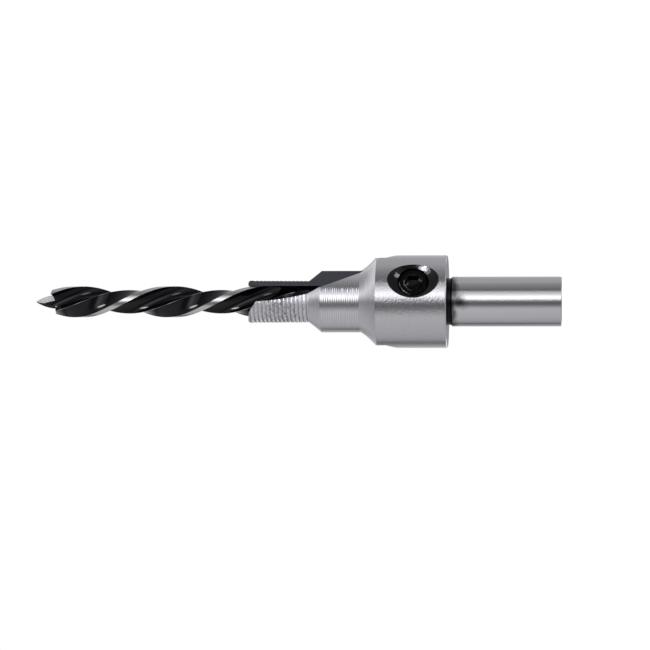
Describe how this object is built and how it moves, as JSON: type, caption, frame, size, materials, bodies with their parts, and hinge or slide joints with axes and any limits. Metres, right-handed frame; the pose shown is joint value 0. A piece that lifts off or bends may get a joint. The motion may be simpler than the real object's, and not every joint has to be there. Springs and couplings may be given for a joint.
{
  "type": "confirmat drill bit",
  "caption": "Stepped drill bit for one-piece furniture connector screws: a brad point twist drill clamped by a set screw in a turned, gashed countersinking holder.",
  "frame": {"origin": "centre of the flat end of the shank, on which the tool stands", "axes": "+Z along the tool's axis, from the shank end to the point of the drill; +X towards the first cutting gash; -Y towards the side that the picture shows"},
  "size_m": [0.0148, 0.0148, 0.085],
  "materials": {
    "ground_steel": "bright turned and ground steel on the holder's outside, with black oxide left in its groove and gashes",
    "drill_steel": "bright ground lands and point, with black oxide in the flutes",
    "black_steel": "black oxide steel, satin"
  },
  "bodies": {
    "root": {"holder": "ground_steel", "twist_drill": "drill_steel", "set_screw": "black_steel"}
  },
  "joints": []
}
